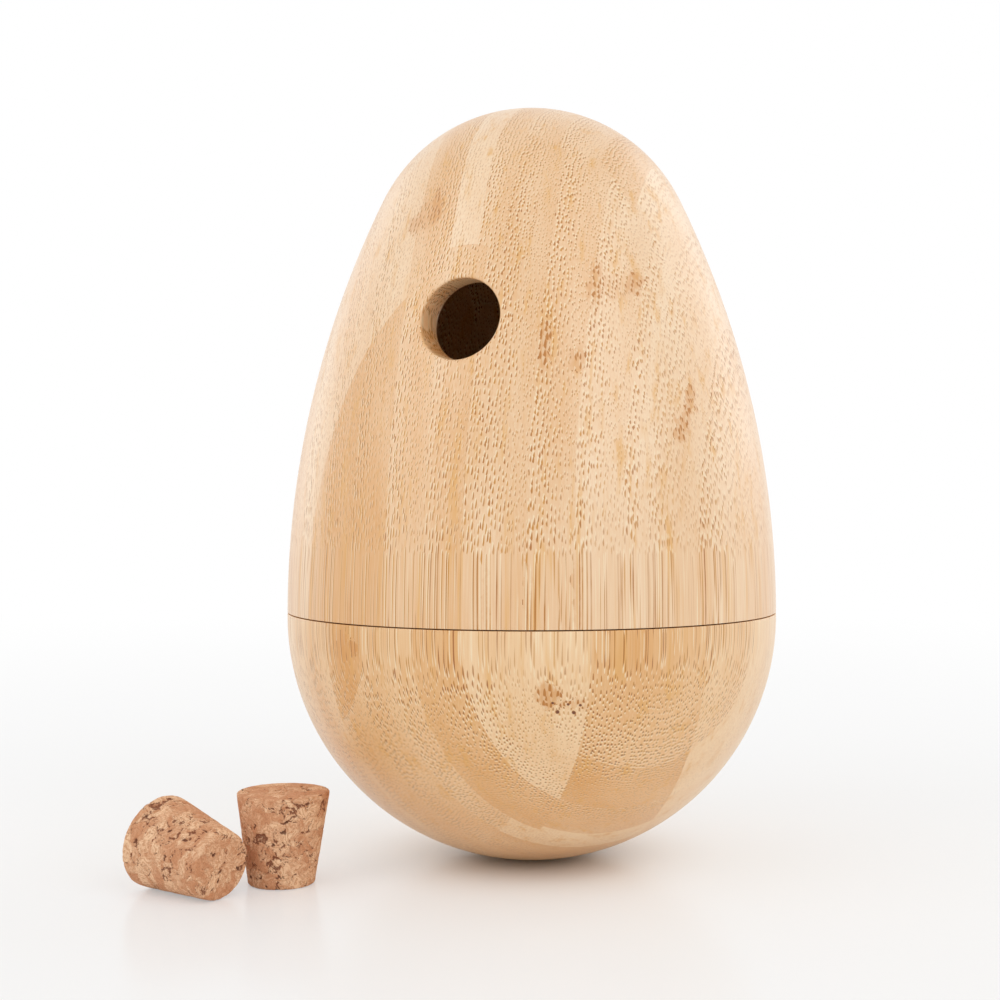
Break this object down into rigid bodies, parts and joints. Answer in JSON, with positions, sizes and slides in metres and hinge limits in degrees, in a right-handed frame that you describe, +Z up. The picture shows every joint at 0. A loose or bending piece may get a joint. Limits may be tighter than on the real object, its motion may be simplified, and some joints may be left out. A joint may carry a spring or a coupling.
{
  "type": "wobble treat dispenser",
  "caption": "Weighted bamboo egg that opens at its waist, rocks upright on its round bowl and drops treats through side holes closed by tapered corks.",
  "frame": {"origin": "middle of the small flat foot under the bowl, on the egg's axis", "axes": "+Z up along the egg's axis, the front treat hole facing -Y, the corks in front on the -X side"},
  "size_m": [0.1146, 0.1162, 0.1592],
  "materials": {
    "bamboo": "satin",
    "cork": "matte",
    "steel": "satin",
    "zinc": "gloss",
    "silicone": "satin"
  },
  "bodies": {
    "bowl": {"lower_shell": "bamboo", "ballast_weight": "steel", "ballast_cover": "bamboo", "ballast_screw": "zinc", "standing_cork": "cork", "lying_cork": "cork"},
    "ring": {"seal_ring": "silicone"},
    "cap": {"upper_shell": "bamboo"}
  },
  "joints": [
    {"name": "upper_turn", "type": "hinge", "parent": "bowl", "child": "ring", "pos_m": [0, 0, 0.05615], "axis": [0, 0, 1], "continuous": true},
    {"name": "upper_lift", "type": "slide", "parent": "ring", "child": "cap", "axis": [0, 0, 1], "range_m": [0, 0.08]}
  ]
}
